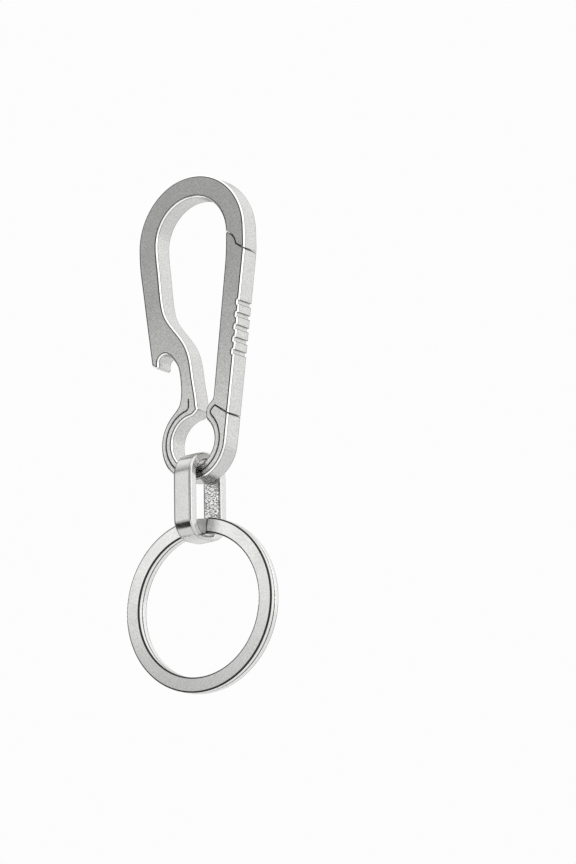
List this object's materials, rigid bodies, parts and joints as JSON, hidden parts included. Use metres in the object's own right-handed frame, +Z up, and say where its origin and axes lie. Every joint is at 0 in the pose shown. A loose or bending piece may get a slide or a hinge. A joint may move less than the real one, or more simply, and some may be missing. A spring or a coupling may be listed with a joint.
{
  "type": "keychain bottle opener carabiner",
  "caption": "Flat titanium carabiner with a sprung gate, a bottle opener claw in its spine, an eye with a folded link, and a split key ring.",
  "frame": {"origin": "centre of the hook's arc, at the middle of the plate's thickness", "axes": "+Z up along the object's length from the key ring to the hook, +Y through the plate's thickness towards the back, +X towards the gate"},
  "size_m": [0.033, 0.0102, 0.1],
  "materials": {
    "titanium_plate": "fine bead-blasted titanium, satin",
    "link_band": "brushed titanium band, wire-cut inside",
    "ring_strip": "tumbled titanium strip, satin"
  },
  "bodies": {
    "frame": {"carabiner_frame": "titanium_plate", "spring_loop": "titanium_plate"},
    "gate": {"gate": "titanium_plate"},
    "link": {"connecting_link": "link_band"},
    "ring": {"key_ring": "ring_strip"}
  },
  "joints": [
    {"name": "gate_open", "type": "hinge", "parent": "frame", "child": "gate", "pos_m": [0, 0, -0.03985], "axis": [0, -1, 0], "range_deg": [0, 14], "stiffness_Nm_per_rad": 0.35, "deforming": ["spring_loop"]},
    {"name": "link_swing", "type": "hinge", "parent": "frame", "child": "link", "pos_m": [0, 0, -0.03985], "axis": [0, 1, 0], "range_deg": [-90, 90]},
    {"name": "ring_swing", "type": "hinge", "parent": "link", "child": "ring", "pos_m": [0, 0, -0.05485], "axis": [0.9925, -0.1219, 0], "range_deg": [-90, 90]}
  ]
}
